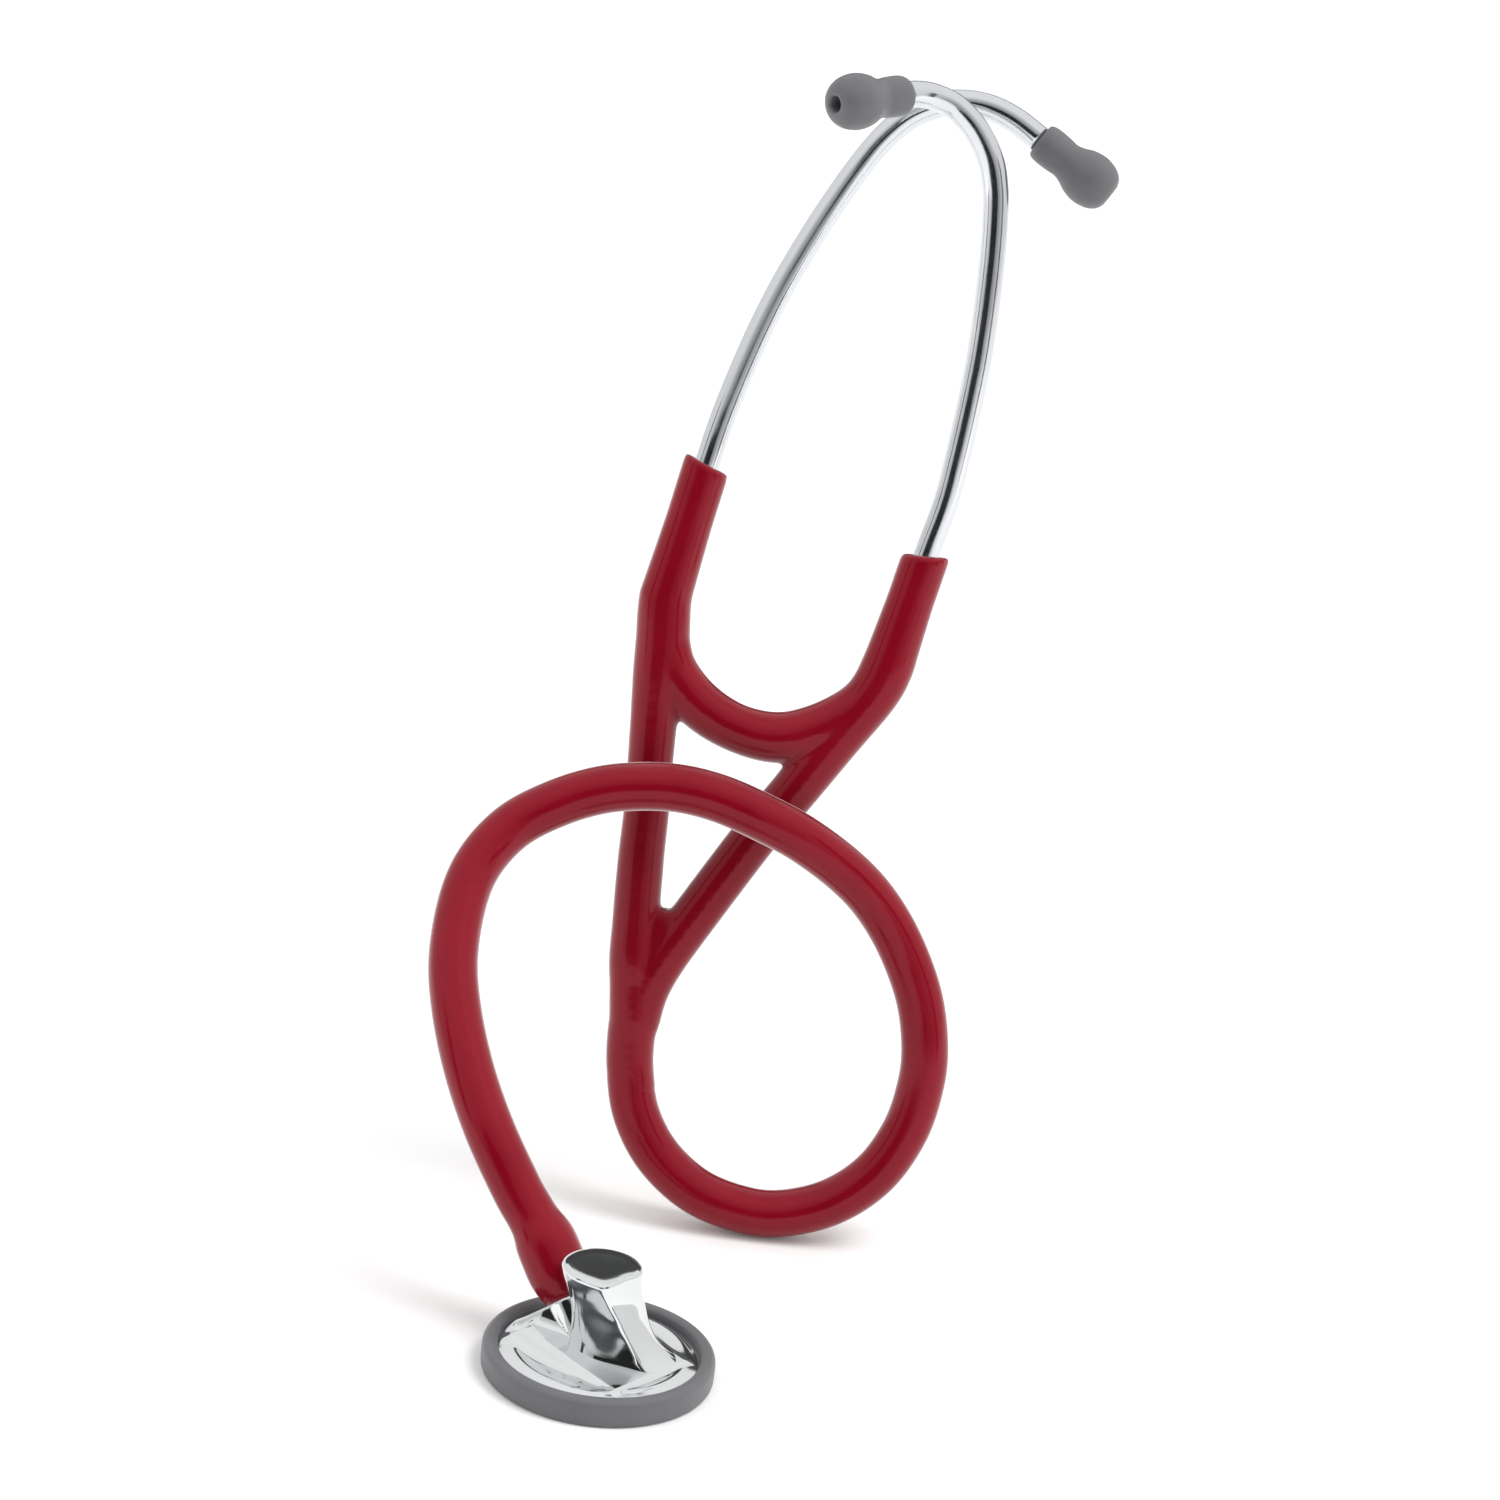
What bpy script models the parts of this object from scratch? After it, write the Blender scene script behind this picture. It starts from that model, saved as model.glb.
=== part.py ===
"""A single-sided cardiology stethoscope, standing on its chestpiece and on the loop of its hose.

Lengths are in millimetres until they reach Blender. The headset, the yoke and the hose's loop lie
in one plane that leans back; they hang on the empty headset_frame, whose X runs across, whose Z
runs up the plane, turned a little in it, and whose -Y points out of the plane's front.
"""

import math

import bmesh
import bpy
import numpy as np
from mathutils import Vector

MM = 0.001
GAP = 0.3

LEAN_DEG = 10.5
TURN_DEG = 7.0
PLANE_FOOT = (1.4, 21.0, 0.0)
HEADSET_PLACE = (7.6, 0.0, 1.15)
CHEST_CENTRE = (-29.9, -54.8, 0.0)
CHEST_TURN_DEG = -40.5

HOSE_R = 5.6
HOSE_BORE_R = 3.1
HOSE_POINT_EVERY = 8.5

RIM_R = 25.3
RIM_TOP = 6.0
FLANGE_R = 23.8
FLANGE_LOW = 2.9
FLANGE_TOP = 5.0
DIAPHRAGM_R = 19.0
DIAPHRAGM_LOW = 0.6
DIAPHRAGM_THICK = 0.5

STEM_TILT_DEG = 48.5
STEM_FACE = (-11.3, 1.1, 12.0)
STEM_R = 2.5
STEM_BORE_R = 1.7
STEM_LENGTH = 15.0
STEM_ROOT = 5.0

GRIP_TOP = 24.5
WEDGE_HALF_WIDTH = 9.0
WEDGE_BACK = -16.4
WEDGE_FRONT = 15.6

ARM_R = 5.8
ARM_END_R = 5.4
CUP_R = 6.3
CUP_LIP = 3.6
CHANNEL_R = 2.1
LEFT_PIVOT = (-28.3, 151.0)
RIGHT_PIVOT = (23.9, 136.0)
LEFT_ARM_TIP = (-18.2, 182.8)
RIGHT_ARM_TIP = (32.6, 161.6)

TUBE_R = 3.0
TUBE_WALL = 0.8
TUBE_START = 6.0
COLLAR_R = 4.4
COLLAR_LENGTH = 5.0

TIP_LENGTH = 20.5
NIPPLE_R = 2.9
NIPPLE_LENGTH = 8.0
NIPPLE_INSERT = 3.0

# Route of the hose from the stem to the yoke, in world millimetres.
HOSE_ROUTE = [
    (-38.0, -46.4, 12.3),
    (-41.5, -43.4, 17.5),
    (-45.1, -40.4, 22.8),
    (-48.8, -37.8, 27.1),
    (-52.5, -35.2, 31.3),
    (-60.0, -29.3, 41.6),
    (-66.4, -21.0, 51.5),
    (-71.3, -11.5, 61.4),
    (-74.0, -2.0, 70.2),
    (-74.0, 8.5, 80.1),
    (-71.4, 16.0, 87.6),
    (-65.2, 22.0, 94.7),
    (-56.0, 25.2, 100.3),
    (-46.6, 26.6, 104.2),
    (-37.5, 27.0, 106.2),
    (-28.3, 27.1, 106.8),
    (-19.0, 27.0, 105.6),
    (-9.3, 26.9, 102.6),
    (1.3, 28.3, 97.8),
    (12.4, 31.6, 90.0),
    (20.5, 33.7, 82.1),
    (27.6, 33.9, 72.2),
    (33.4, 32.2, 60.6),
    (36.2, 30.0, 48.9),
    (36.2, 28.3, 39.2),
    (33.9, 26.3, 28.7),
    (28.1, 24.3, 18.1),
    (18.8, 22.9, 10.2),
    (7.2, 22.1, 6.0),
    (-2.7, 22.1, 5.9),
    (-13.7, 22.7, 9.0),
    (-23.5, 24.1, 16.2),
    (-29.9, 26.0, 25.9),
    (-32.6, 28.1, 36.9),
    (-33.1, 29.8, 46.0),
]

# Centre lines in the leaning plane: (across, up, radius).
LEFT_LIMB = [
    (-28.4, 150.0, 6.2),
    (-28.8, 139.0, 6.2),
    (-30.4, 128.0, 5.5),
    (-31.3, 118.0, 5.1),
    (-32.1, 108.0, 5.0),
    (-33.4, 96.0, 5.1),
    (-34.7, 84.0, 5.2),
    (-35.5, 72.0, 5.3),
    (-35.8, 62.0, 5.6),
    (-35.9, 51.5, 5.8),
]
RIGHT_LIMB = [
    (23.5, 135.0, 6.0),
    (20.4, 129.4, 5.8),
    (11.6, 118.6, 5.6),
    (1.4, 105.8, 5.3),
    (-6.8, 96.2, 5.2),
    (-20.8, 77.6, 5.2),
    (-29.6, 66.2, 5.4),
    (-34.0, 58.0, 5.6),
]
WEB = [
    (-28.2, 143.0, 5.4),
    (-26.2, 135.0, 5.3),
    (-20.4, 127.0, 5.5),
    (-11.8, 121.4, 5.4),
    (-2.0, 119.0, 5.7),
    (7.0, 120.8, 5.7),
    (14.8, 124.6, 5.6),
    (19.2, 128.4, 5.4),
    (21.8, 132.2, 5.2),
]
GUSSET = [
    (-32.0, 64.0, 4.4),
    (-29.8, 73.0, 4.4),
    (-28.2, 79.0, 3.2),
]
LEAF_SPRING = [
    (-25.4, 141.5),
    (-24.4, 135.5),
    (-19.6, 128.8),
    (-11.0, 123.6),
    (-1.0, 121.8),
    (8.0, 123.4),
    (14.6, 127.8),
]
LEFT_CHANNEL = [
    (-30.4, 152.0),
    (-31.0, 142.0),
    (-31.3, 128.0),
    (-31.6, 114.0),
    (-33.2, 98.0),
    (-34.8, 82.0),
    (-35.6, 66.0),
    (-36.2, 48.0),
]
RIGHT_CHANNEL = [
    (27.6, 137.0),
    (23.0, 129.6),
    (12.6, 117.4),
    (1.6, 105.6),
    (-6.8, 96.2),
    (-20.8, 77.6),
    (-29.8, 65.0),
    (-35.4, 54.0),
]

# Ear tubes past their sleeves: (across, in front of the plane, up).
LEFT_TUBE = [
    (-14.7, -0.8, 193.1),
    (-11.0, -2.0, 202.3),
    (-6.4, -3.4, 212.7),
    (-1.3, -4.8, 222.8),
    (4.7, -6.0, 233.0),
    (10.6, -7.0, 242.1),
    (17.2, -7.7, 251.3),
    (22.9, -8.1, 257.9),
    (29.1, -8.3, 262.7),
    (35.6, -8.3, 265.2),
    (41.3, -8.3, 265.6),
    (47.1, -8.1, 264.5),
    (52.9, -7.8, 261.6),
    (58.6, -7.3, 257.2),
]
RIGHT_TUBE = [
    (36.9, 0.3, 173.4),
    (39.6, 0.8, 183.9),
    (42.2, 1.4, 195.6),
    (44.4, 2.1, 206.9),
    (46.0, 2.9, 218.3),
    (47.2, 3.5, 229.4),
    (47.8, 4.0, 238.4),
    (47.8, 4.3, 245.1),
    (46.6, 4.7, 251.8),
    (43.2, 5.3, 258.6),
    (38.4, 6.0, 263.6),
    (33.4, 7.6, 265.8),
    (29.6, 9.8, 266.2),
    (26.8, 12.0, 265.8),
]

# Half profile of an ear tip: (radius, distance from its base).
TIP_PROFILE = [
    (3.9, 0.0),
    (4.4, 0.7),
    (4.6, 3.0),
    (4.5, 5.4),
    (4.3, 7.4),
    (4.8, 9.2),
    (5.7, 11.2),
    (6.2, 13.4),
    (6.2, 15.4),
    (5.6, 17.8),
    (4.5, 19.6),
    (3.1, 20.5),
]


def clear_scene():
    for item in list(bpy.data.objects):
        bpy.data.objects.remove(item)


def new_collection(name):
    made = bpy.data.collections.new(name)
    bpy.context.scene.collection.children.link(made)
    return made


def material(name, colour, roughness, metallic=0.0):
    made = bpy.data.materials.new(name)
    made.use_nodes = True
    shader = made.node_tree.nodes["Principled BSDF"]
    shader.inputs["Base Color"].default_value = (*colour, 1.0)
    shader.inputs["Roughness"].default_value = roughness
    shader.inputs["Metallic"].default_value = metallic
    made.diffuse_color = (*colour, 1.0)
    return made


clear_scene()
PARTS = new_collection("stethoscope")
CUTTERS = new_collection("cutters")

PVC = material("burgundy_pvc", (0.22, 0.012, 0.028), 0.32)
POLISHED = material("polished_steel", (0.80, 0.81, 0.82), 0.06, 1.0)
SATIN = material("satin_aluminium", (0.78, 0.79, 0.81), 0.22, 1.0)
SPRING_STEEL = material("spring_steel", (0.42, 0.43, 0.45), 0.35, 1.0)
GREY_RUBBER = material("grey_rubber", (0.17, 0.17, 0.18), 0.45)
CLEAR_RESIN = material("diaphragm_resin", (0.55, 0.56, 0.55), 0.25)
NYLON = material("nylon", (0.07, 0.07, 0.075), 0.4)


def link(item, collection=None, parent=None):
    (collection or PARTS).objects.link(item)
    item.parent = parent
    return item


def as_cutter(item):
    item.hide_render = True
    item.display_type = "WIRE"
    return item


def empty(name, place, parent=None):
    made = link(bpy.data.objects.new(name, None), parent=parent)
    made.location = Vector(place) * MM
    return made


def aim(item, direction):
    """Turns an object so that its Z runs along a direction of its parent's frame."""
    item.rotation_mode = "QUATERNION"
    item.rotation_quaternion = Vector(direction).to_track_quat("Z", "Y")


def smooth_path(points, spacing):
    """Points at an even spacing along a Catmull-Rom curve through the given points."""
    given = np.array(points, float)
    ends = [2 * given[0] - given[1], 2 * given[-1] - given[-2]]
    padded = np.vstack([ends[0], given, ends[1]])
    t = np.linspace(0, 1, 24, endpoint=False)[:, None]
    fine = []
    for a, b, c, d in zip(padded, padded[1:], padded[2:], padded[3:]):
        fine.append(
            0.5
            * (
                2 * b
                + (c - a) * t
                + (2 * a - 5 * b + 4 * c - d) * t**2
                + (3 * b - a - 3 * c + d) * t**3
            )
        )
    fine = np.vstack([*fine, given[-1:]])
    steps = np.linalg.norm(np.diff(fine[:, :3], axis=0), axis=1)
    run = np.concatenate([[0], np.cumsum(steps)])
    wanted = np.linspace(0, run[-1], int(round(run[-1] / spacing)) + 1)
    return np.stack([np.interp(wanted, run, column) for column in fine.T], axis=1)


def tube_curve(name, path, radius, mat, sides=2, capped=True, parent=None, collection=None):
    """A round tube along a path of (x, y, z) or (x, y, z, radius)."""
    data = bpy.data.curves.new(name, "CURVE")
    data.dimensions = "3D"
    data.bevel_depth = radius * MM
    data.bevel_resolution = sides
    data.use_fill_caps = capped
    spline = data.splines.new("POLY")
    spline.points.add(len(path) - 1)
    for point, place in zip(spline.points, path):
        point.co = (*(Vector(place[:3]) * MM), 1.0)
        point.radius = place[3] / radius if len(place) > 3 else 1.0
    data.materials.append(mat)
    return link(bpy.data.objects.new(name, data), collection, parent)


def hollow(item, wall):
    shell = item.modifiers.new("wall", "SOLIDIFY")
    shell.thickness = wall * MM
    shell.offset = -1.0
    return item


def mesh_of(curve_item):
    """Replaces a curve by the mesh that it makes, welded shut."""
    bpy.context.view_layer.update()
    graph = bpy.context.evaluated_depsgraph_get()
    data = bpy.data.meshes.new_from_object(curve_item.evaluated_get(graph))
    shape = bmesh.new()
    shape.from_mesh(data)
    bmesh.ops.remove_doubles(shape, verts=shape.verts, dist=1e-6)
    bmesh.ops.recalc_face_normals(shape, faces=shape.faces)
    shape.to_mesh(data)
    shape.free()
    name = curve_item.name
    made = bpy.data.objects.new(name + "_mesh", data)
    curve_item.users_collection[0].objects.link(made)
    made.parent = curve_item.parent
    made.matrix_basis = curve_item.matrix_basis
    bpy.data.objects.remove(curve_item)
    made.name = name
    return made


def combine(item, other, operation):
    joined = item.modifiers.new(other.name, "BOOLEAN")
    joined.operation = operation
    joined.object = as_cutter(other)


def turned(name, profile, mat, steps=32, closed=True, parent=None, collection=None):
    """A closed half profile of (radius, height), turned about Z."""
    data = bpy.data.meshes.new(name)
    shape = bmesh.new()
    verts = [shape.verts.new((r * MM, 0, z * MM)) for r, z in profile]
    rest = verts[1:] + verts[:1] if closed else verts[1:]
    for a, b in zip(verts, rest):
        shape.edges.new((a, b))
    shape.to_mesh(data)
    shape.free()
    data.materials.append(mat)
    made = link(bpy.data.objects.new(name, data), collection, parent)
    spin = made.modifiers.new("turn", "SCREW")
    spin.steps = spin.render_steps = steps
    spin.use_merge_vertices = True
    spin.merge_threshold = 1e-6
    return made


def solid_mesh(name, shape, mat, parent=None, collection=None):
    bmesh.ops.recalc_face_normals(shape, faces=shape.faces)
    data = bpy.data.meshes.new(name)
    shape.to_mesh(data)
    shape.free()
    data.materials.append(mat)
    return link(bpy.data.objects.new(name, data), collection, parent)


def cylinder(name, radius, low, high, parent, sides=24):
    """A cutter: a cylinder along its own Z."""
    shape = bmesh.new()
    bmesh.ops.create_cone(
        shape,
        cap_ends=True,
        segments=sides,
        radius1=radius * MM,
        radius2=radius * MM,
        depth=(high - low) * MM,
    )
    bmesh.ops.translate(shape, verts=shape.verts, vec=(0, 0, (low + high) / 2 * MM))
    return solid_mesh(name, shape, POLISHED, parent, CUTTERS)


def box(name, low, high, parent):
    """A cutter: a box between two corners."""
    shape = bmesh.new()
    bmesh.ops.create_cube(shape, size=1.0)
    size = Vector(high) - Vector(low)
    bmesh.ops.scale(shape, verts=shape.verts, vec=size * MM)
    middle = (Vector(high) + Vector(low)) / 2
    bmesh.ops.translate(shape, verts=shape.verts, vec=middle * MM)
    return solid_mesh(name, shape, POLISHED, parent, CUTTERS)


def grip_section(height, centre, half_x, half_y, edge_deg, edge_r, sides=28):
    """One level of the grip: an oval drawn out to a sharp edge on its front."""
    ring = []
    edge = math.radians(edge_deg)
    for k in range(sides):
        angle = edge + 2 * math.pi * k / sides
        off = abs(math.remainder(angle - edge, 2 * math.pi))
        oval = 1 / math.hypot(math.cos(angle) / half_x, math.sin(angle) / half_y)
        oval_at_edge = 1 / math.hypot(math.cos(edge) / half_x, math.sin(edge) / half_y)
        radius = oval + (edge_r - oval_at_edge) * math.exp(-off / 0.35)
        ring.append(
            (centre[0] + radius * math.cos(angle), centre[1] + radius * math.sin(angle), height)
        )
    return ring


def loft(name, rings, mat, parent=None, collection=None):
    shape = bmesh.new()
    levels = [[shape.verts.new(Vector(place) * MM) for place in ring] for ring in rings]
    for low, high in zip(levels, levels[1:]):
        for k in range(len(low)):
            n = (k + 1) % len(low)
            shape.faces.new((low[k], low[n], high[n], high[k]))
    shape.faces.new(levels[0])
    shape.faces.new(levels[-1])
    bmesh.ops.triangulate(shape, faces=[f for f in shape.faces if len(f.verts) > 4])
    return solid_mesh(name, shape, mat, parent, collection)


def stem_direction():
    """Up the stem, in the chestpiece's frame."""
    tilt = math.radians(STEM_TILT_DEG)
    return Vector((-math.cos(tilt), 0.0, math.sin(tilt)))


def along_stem(distance):
    return Vector(STEM_FACE) + stem_direction() * distance


def chestpiece_body(chest):
    """Machined disc with a raised wedge, a waisted grip and a passage from cup to stem."""
    body = turned(
        "chestpiece_body",
        [
            (0.0, 8.0),
            (9.0, 7.6),
            (16.0, 6.2),
            (21.6, 5.1),
            (FLANGE_R, FLANGE_TOP),
            (FLANGE_R, FLANGE_LOW),
            (21.0, FLANGE_LOW),
            (10.0, 3.2),
            (0.0, 3.6),
        ],
        POLISHED,
        steps=64,
        closed=False,
        parent=chest,
    )
    wedge_shape = bmesh.new()
    side = WEDGE_HALF_WIDTH
    for across in (-side, side):
        inner = across * 0.9
        for place in (
            (WEDGE_BACK, across, 4.6),
            (WEDGE_FRONT, across, 4.6),
            (WEDGE_FRONT - 0.6, inner, 6.2),
            (WEDGE_BACK + 2.5, inner, 10.0),
        ):
            wedge_shape.verts.new(Vector(place) * MM)
    bmesh.ops.convex_hull(wedge_shape, input=wedge_shape.verts)
    combine(body, solid_mesh("wedge", wedge_shape, POLISHED, chest, CUTTERS), "UNION")

    boss = cylinder("stem_boss", HOSE_R, -STEM_ROOT, 0.5, chest, sides=24)
    boss.location = Vector(STEM_FACE) * MM
    aim(boss, stem_direction())
    combine(body, boss, "UNION")

    levels = [
        (4.5, (3.5, 0.5), 12.5, 11.0, -62, 12.4),
        (7.0, (3.2, 0.6), 10.2, 9.6, -64, 11.0),
        (10.0, (2.4, 0.8), 9.0, 8.6, -67, 10.2),
        (14.0, (1.2, 1.0), 8.3, 7.9, -72, 9.8),
        (18.0, (0.0, 1.2), 8.1, 7.8, -78, 9.7),
        (21.5, (-0.9, 1.4), 8.4, 8.1, -83, 9.9),
        (23.4, (-1.3, 1.5), 8.7, 8.4, -86, 10.1),
        (GRIP_TOP, (-1.3, 1.5), 8.0, 7.8, -86, 9.4),
    ]
    grip = loft("grip", [grip_section(*level) for level in levels], POLISHED, chest, CUTTERS)
    grip.rotation_euler.z = -math.radians(CHEST_TURN_DEG)
    combine(body, grip, "UNION")
    relief = cylinder("hose_relief", HOSE_R + 2 * GAP, 0.0, 16.0, chest, sides=32)
    relief.location = Vector(STEM_FACE) * MM
    aim(relief, stem_direction())
    combine(body, relief, "DIFFERENCE")

    combine(body, cylinder("cup_bore", STEM_BORE_R, 2.0, 10.0, chest), "DIFFERENCE")
    bore = cylinder("stem_bore", STEM_R + GAP, -STEM_ROOT, 6.0, chest)
    bore.location = Vector(STEM_FACE) * MM
    aim(bore, stem_direction())
    combine(body, bore, "DIFFERENCE")
    passage = [(0.0, 0.0, 6.0), (-4.0, 0.0, 6.8), tuple(along_stem(-STEM_ROOT + 1.0))]
    passage = mesh_of(
        tube_curve("passage", passage, STEM_BORE_R, POLISHED, parent=chest, collection=CUTTERS)
    )
    combine(body, passage, "DIFFERENCE")
    return body


def chestpiece_stem(chest):
    """Barbed steel stem that the hose is pushed over."""
    profile = [(STEM_BORE_R, STEM_LENGTH), (STEM_R - 0.5, STEM_LENGTH)]
    for top in (14.0, 10.0, 6.0):
        profile += [(STEM_R + 0.2, top - 1.4), (STEM_R - 0.1, top - 1.6), (STEM_R - 0.1, top - 3.2)]
    profile += [(STEM_R, 2.0), (STEM_R, -STEM_ROOT + GAP), (STEM_BORE_R, -STEM_ROOT + GAP)]
    stem = turned("chestpiece_stem", profile, POLISHED, steps=24, parent=chest)
    stem.location = Vector(STEM_FACE) * MM
    aim(stem, stem_direction())


def chestpiece_rim(chest):
    """Soft ring with a groove that snaps over the disc's edge and holds the diaphragm."""
    turned(
        "chestpiece_rim",
        [
            (24.5, RIM_TOP),
            (RIM_R - 0.2, 5.4),
            (RIM_R, 4.4),
            (RIM_R, 1.2),
            (RIM_R - 0.3, 0.4),
            (24.4, 0.0),
            (22.2, 0.0),
            (21.4, 0.5),
            (21.4, 1.6),
            (FLANGE_R + GAP, 1.6),
            (FLANGE_R + GAP, 5.3),
            (22.0, 5.3),
            (22.1, 5.8),
            (23.0, 6.1),
        ],
        GREY_RUBBER,
        steps=64,
        parent=chest,
    )


def diaphragm_surround(chest):
    """Thin flexible ring, clamped by the rim, that carries the diaphragm's edge."""
    turned(
        "diaphragm_surround",
        [
            (23.6, 2.6),
            (23.6, 1.9),
            (21.1, 1.9),
            (20.6, DIAPHRAGM_LOW),
            (DIAPHRAGM_R + GAP, DIAPHRAGM_LOW),
            (DIAPHRAGM_R + GAP, 1.9),
            (20.2, 2.6),
        ],
        GREY_RUBBER,
        steps=64,
        parent=chest,
    )


def diaphragm(chest):
    """Stiff resin disc that presses in a little to change the sound."""
    travel = empty("diaphragm_press", (0, 0, DIAPHRAGM_LOW), chest)
    turned(
        "diaphragm",
        [(0.0, DIAPHRAGM_THICK), (DIAPHRAGM_R, DIAPHRAGM_THICK), (DIAPHRAGM_R, 0.0), (0.0, 0.0)],
        CLEAR_RESIN,
        steps=64,
        closed=False,
        parent=travel,
    )


def hose():
    """Thick-walled hose from the stem, over in front of the yoke, round the loop, to the yoke."""
    path = smooth_path(HOSE_ROUTE, HOSE_POINT_EVERY)
    hollow(tube_curve("hose", path, HOSE_R, PVC, capped=False), HOSE_R - HOSE_BORE_R)


def in_plane(points):
    """Adds the missing depth of 0 to (across, up) or (across, up, radius)."""
    return [(p[0], 0.0, *p[1:]) for p in points]


def limb(name, points, radius, frame, collection):
    path = smooth_path(in_plane(points), 4.0)
    return mesh_of(tube_curve(name, path, radius, PVC, 3, parent=frame, collection=collection))


def arm_direction(pivot, tip):
    return Vector((tip[0] - pivot[0], 0.0, tip[1] - pivot[1]))


def cut_arm_joint(yoke, side, pivot, tip, frame):
    """Cuts the round cup that the arm's end turns in, and all that stands above its lip."""
    cup = cylinder(side + "_cup", CUP_R, -12.0, 12.0, frame, sides=40)
    cup.location = Vector((pivot[0], 0.0, pivot[1])) * MM
    aim(cup, (0.0, 1.0, 0.0))
    combine(yoke, cup, "DIFFERENCE")
    above = box(side + "_above", (-12.0, -12.0, -CUP_LIP), (12.0, 12.0, 14.0), frame)
    above.location = Vector((pivot[0], 0.0, pivot[1])) * MM
    aim(above, arm_direction(pivot, tip))
    combine(yoke, above, "DIFFERENCE")


def spring_ribbon(name, points, half_depth, thick, mat, frame, collection):
    """A flat strip on edge along a line of the leaning plane."""
    data = bpy.data.curves.new(name, "CURVE")
    data.dimensions = "3D"
    data.extrude = half_depth * MM
    spline = data.splines.new("POLY")
    path = smooth_path([(a, up, 0.0) for a, up in points], 3.0)
    spline.points.add(len(path) - 1)
    for point, place in zip(spline.points, path):
        point.co = (*(Vector(place) * MM), 1.0)
    data.dimensions = "2D"
    data.fill_mode = "NONE"
    data.materials.append(mat)
    made = link(bpy.data.objects.new(name, data), collection, frame)
    made.rotation_euler.x = math.pi / 2
    hollow(made, thick).modifiers["wall"].offset = 0.0
    return made


def yoke(frame):
    """Moulded Y: two legs, the web with its spring slot, and a sound passage in each leg."""
    body = limb("yoke", LEFT_LIMB, 5.5, frame, PARTS)
    combine(body, limb("right_limb", RIGHT_LIMB, 5.5, frame, CUTTERS), "UNION")
    combine(body, limb("web", WEB, 5.5, frame, CUTTERS), "UNION")
    combine(body, limb("gusset", GUSSET, 5.5, frame, CUTTERS), "UNION")
    for name, points in (("left_channel", LEFT_CHANNEL), ("right_channel", RIGHT_CHANNEL)):
        path = smooth_path(in_plane(points), 6.0)
        channel = tube_curve(name, path, CHANNEL_R, PVC, 1, parent=frame, collection=CUTTERS)
        combine(body, mesh_of(channel), "DIFFERENCE")
    start = (-26.4, 152.0)
    end = (19.2, 136.0)
    slot = spring_ribbon(
        "spring_slot", [start, *LEAF_SPRING, end], 3.4, 1.5, PVC, frame, CUTTERS
    )
    combine(body, mesh_of(slot), "DIFFERENCE")
    cut_arm_joint(body, "left", LEFT_PIVOT, LEFT_ARM_TIP, frame)
    cut_arm_joint(body, "right", RIGHT_PIVOT, RIGHT_ARM_TIP, frame)
    spring_ribbon("tension_spring", LEAF_SPRING, 3.0, 0.8, SPRING_STEEL, frame, PARTS)


def arm_sleeve(side, length, direction, pivot_empty):
    """Soft sleeve on the ear tube, with a round lower end and a recess for the collar."""
    round_end = [
        (ARM_R * math.sin(a), -ARM_R * math.cos(a)) for a in np.radians([90, 75, 60, 45, 30])
    ]
    profile = [
        (TUBE_R + GAP, length),
        (ARM_END_R - 0.4, length),
        (ARM_END_R, length - 0.5),
        (ARM_END_R + 0.1, length * 0.6),
        (ARM_R, length * 0.3),
        *round_end,
        (CHANNEL_R, -5.0),
        (CHANNEL_R, TUBE_START - GAP),
        (COLLAR_R + GAP, TUBE_START - GAP),
        (COLLAR_R + GAP, TUBE_START + COLLAR_LENGTH + 2 * GAP),
        (TUBE_R + GAP, TUBE_START + COLLAR_LENGTH + 2 * GAP),
    ]
    sleeve = turned(side + "_arm_sleeve", profile, PVC, steps=32, parent=pivot_empty)
    aim(sleeve, direction)
    collar = turned(
        side + "_tube_collar",
        [
            (COLLAR_R, COLLAR_LENGTH),
            (COLLAR_R, 0.0),
            (TUBE_R + GAP, 0.0),
            (TUBE_R + GAP, COLLAR_LENGTH),
        ],
        SPRING_STEEL,
        steps=24,
        parent=pivot_empty,
    )
    collar.location = direction * (TUBE_START + GAP) * MM
    aim(collar, direction)


def ear_tube(side, route, pivot, reach, pivot_empty):
    """Bent aluminium tube; returns its end and its direction there, from the pivot."""
    start = Vector((pivot[0], 0.0, pivot[1]))
    inside = (TUBE_START, reach.length / 2, reach.length + 1.0)
    near = [tuple(start + reach.normalized() * t) for t in inside]
    far = [(across, -front, up) for across, front, up in route]
    path = smooth_path([*near, *far], 4.5)
    path = path - np.array(start)
    hollow(
        tube_curve(
            side + "_ear_tube", path, TUBE_R, SATIN, 3, capped=False, parent=pivot_empty
        ),
        TUBE_WALL,
    )
    return Vector(path[-1]), Vector(path[-1] - path[-2]).normalized()


def nipple(side, place, direction, pivot_empty):
    """Ribbed plug in the tube's end, which the ear tip snaps over."""
    bore = 1.1
    profile = [(bore, NIPPLE_LENGTH), (NIPPLE_R - 0.5, NIPPLE_LENGTH)]
    for top in (7.4, 5.4, 3.4):
        profile += [(NIPPLE_R, top - 0.5), (NIPPLE_R, top - 0.9), (NIPPLE_R - 0.4, top - 1.4)]
    inner = TUBE_R - TUBE_WALL - 1.5 * GAP
    profile += [
        (NIPPLE_R - 0.4, 0.9),
        (NIPPLE_R - 0.4, GAP),
        (inner, GAP),
        (inner, -NIPPLE_INSERT),
        (bore, -NIPPLE_INSERT),
    ]
    made = turned(side + "_tip_nipple", profile, NYLON, steps=20, parent=pivot_empty)
    made.location = place * MM
    aim(made, direction)


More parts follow.
